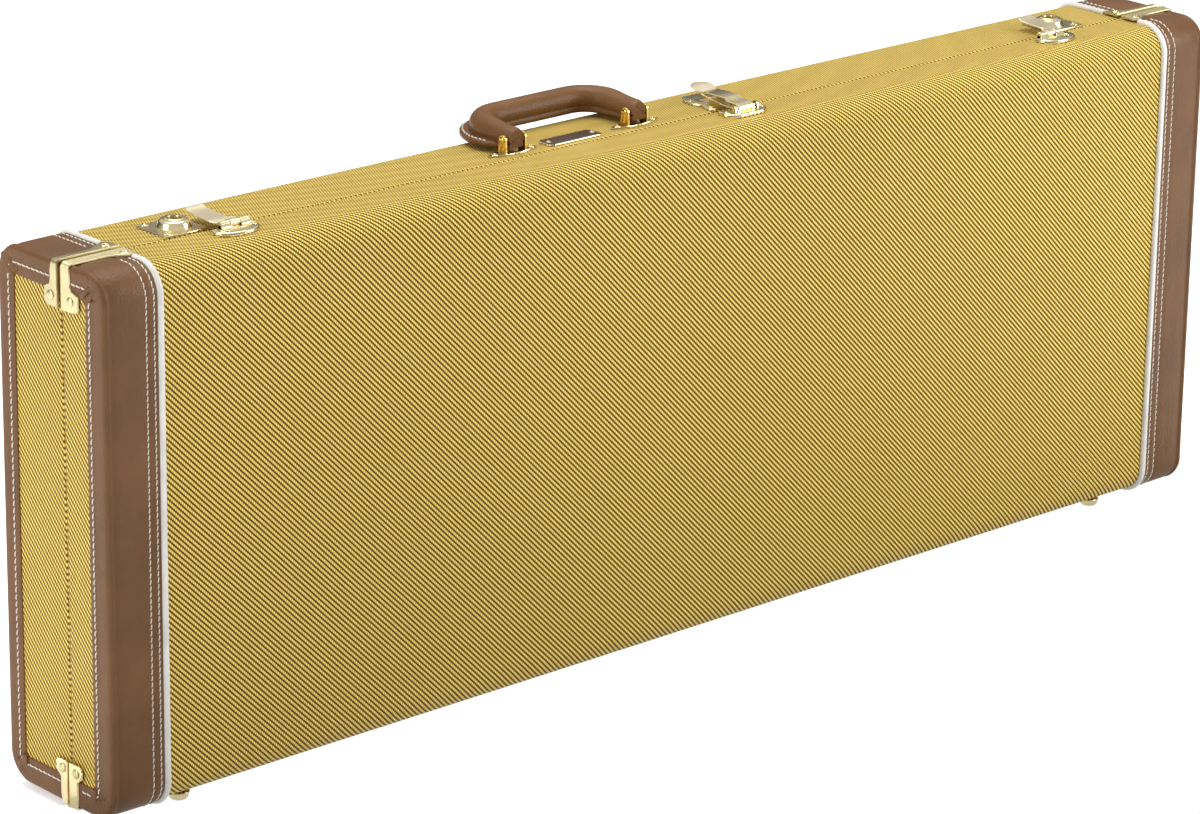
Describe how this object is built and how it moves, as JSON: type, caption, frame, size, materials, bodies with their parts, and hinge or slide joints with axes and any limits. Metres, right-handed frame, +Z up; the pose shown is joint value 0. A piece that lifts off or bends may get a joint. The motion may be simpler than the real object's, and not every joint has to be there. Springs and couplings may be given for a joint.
{
  "type": "guitar case",
  "caption": "Hard-shell rectangular guitar case in twill tweed with leather ends, hinged lid, key-lock hasps, draw latch, folding handle and a padded interior.",
  "frame": {"origin": "middle of the case's footprint, on the surface that its feet stand on", "axes": "+X along the case's length towards the neck end, +Y through its depth from the lid to the base, +Z up towards the handle"},
  "size_m": [1.0794, 0.1208, 0.414],
  "materials": {
    "tweed": "lacquered diagonal twill of yellow and cream cords over dark gaps",
    "leather": "smooth brown leather with fine grain, satin",
    "handle_leather": "padded brown leather, satin, fine grain",
    "piping": "white vinyl piping, soft sheen",
    "brass": "pale polished brass plate",
    "satin_brass": "pale satin brushed brass plate",
    "plywood": "bare laminated plywood",
    "plush": "short dense plush over foam",
    "badge": "dark brown enamelled plate with a bright edge, blank"
  },
  "bodies": {
    "base": {"base_shell": "plywood", "base_cover": "tweed", "base_valance": "plywood", "base_lining": "plush", "lower_bout_pad": "plush", "shoulder_pad": "plush", "neck_rest": "plush", "accessory_box": "plush", "base_collar_left": "leather", "base_collar_right": "leather", "base_piping_left": "piping", "base_piping_right": "piping", "base_strap_top_left": "satin_brass", "base_strap_top_right": "satin_brass", "base_strap_foot_left": "satin_brass", "base_strap_foot_right": "satin_brass", "handle_mount_left": "brass", "handle_mount_right": "brass", "handle_pin_left": "brass", "handle_pin_right": "brass", "name_plate": "badge", "lock_plate_left": "brass", "lock_plate_right": "brass", "draw_catch_plate": "brass", "base_foot_left": "brass", "base_foot_right": "brass", "hinge_base_leaf_left": "brass", "hinge_base_leaf_middle": "brass", "hinge_base_leaf_right": "brass", "hinge_pin_left": "brass", "hinge_pin_middle": "brass", "hinge_pin_right": "brass"},
    "lid": {"lid_shell": "plywood", "lid_cover": "tweed", "lid_lining": "plush", "lid_collar_left": "leather", "lid_collar_right": "leather", "lid_piping_left": "piping", "lid_piping_right": "piping", "lid_strap_top_left": "satin_brass", "lid_strap_top_right": "satin_brass", "lid_strap_foot_left": "satin_brass", "lid_strap_foot_right": "satin_brass", "lid_foot_left": "brass", "lid_foot_right": "brass", "hinge_lid_leaf_left": "brass", "hinge_lid_leaf_middle": "brass", "hinge_lid_leaf_right": "brass", "hasp_plate_left": "brass", "hasp_plate_right": "brass", "draw_plate": "brass"},
    "handle": {"handle_grip": "handle_leather"},
    "hasp_left": {"hasp_left": "brass"},
    "hasp_right": {"hasp_right": "brass"},
    "draw_lever": {"draw_lever": "brass"},
    "draw_claw": {"draw_claw": "brass"},
    "lock_plug_left": {"lock_plug_left": "brass"},
    "lock_plug_right": {"lock_plug_right": "brass"},
    "accessory_lid": {"accessory_lid": "plush"}
  },
  "joints": [
    {"name": "lid_hinge", "type": "hinge", "parent": "base", "child": "lid", "pos_m": [0, -0.011, 0.003], "axis": [1, 0, 0], "range_deg": [0, 100]},
    {"name": "handle_swing", "type": "hinge", "parent": "base", "child": "handle", "pos_m": [-0.0745, 0.001, 0.401], "axis": [1, 0, 0], "range_deg": [0, 170]},
    {"name": "hasp_left_hinge", "type": "hinge", "parent": "lid", "child": "hasp_left", "pos_m": [-0.3995, -0.02, 0.3946], "axis": [1, 0, 0], "range_deg": [0, 150]},
    {"name": "hasp_right_hinge", "type": "hinge", "parent": "lid", "child": "hasp_right", "pos_m": [0.3995, -0.02, 0.3946], "axis": [1, 0, 0], "range_deg": [0, 150]},
    {"name": "draw_lever_pivot", "type": "hinge", "parent": "lid", "child": "draw_lever", "pos_m": [0.067, -0.027, 0.395], "axis": [1, 0, 0], "range_deg": [0, 110]},
    {"name": "draw_claw_pivot", "type": "hinge", "parent": "draw_lever", "child": "draw_claw", "pos_m": [0.067, -0.018, 0.3952], "axis": [1, 0, 0], "range_deg": [-90, 0]},
    {"name": "lock_plug_left_turn", "type": "hinge", "parent": "base", "child": "lock_plug_left", "pos_m": [-0.4285, 0.0078, 0.395], "axis": [0, 0, 1], "range_deg": [0, 90]},
    {"name": "lock_plug_right_turn", "type": "hinge", "parent": "base", "child": "lock_plug_right", "pos_m": [0.4285, 0.0078, 0.395], "axis": [0, 0, 1], "range_deg": [0, 90]},
    {"name": "accessory_lid_hinge", "type": "hinge", "parent": "base", "child": "accessory_lid", "pos_m": [0.065, 0.0086, 0.377], "axis": [-1, 0, 0], "range_deg": [0, 90]}
  ],
  "couplings": [
    {"joint": "draw_claw_pivot", "follows": "draw_lever_pivot", "ratio": -0.8}
  ]
}
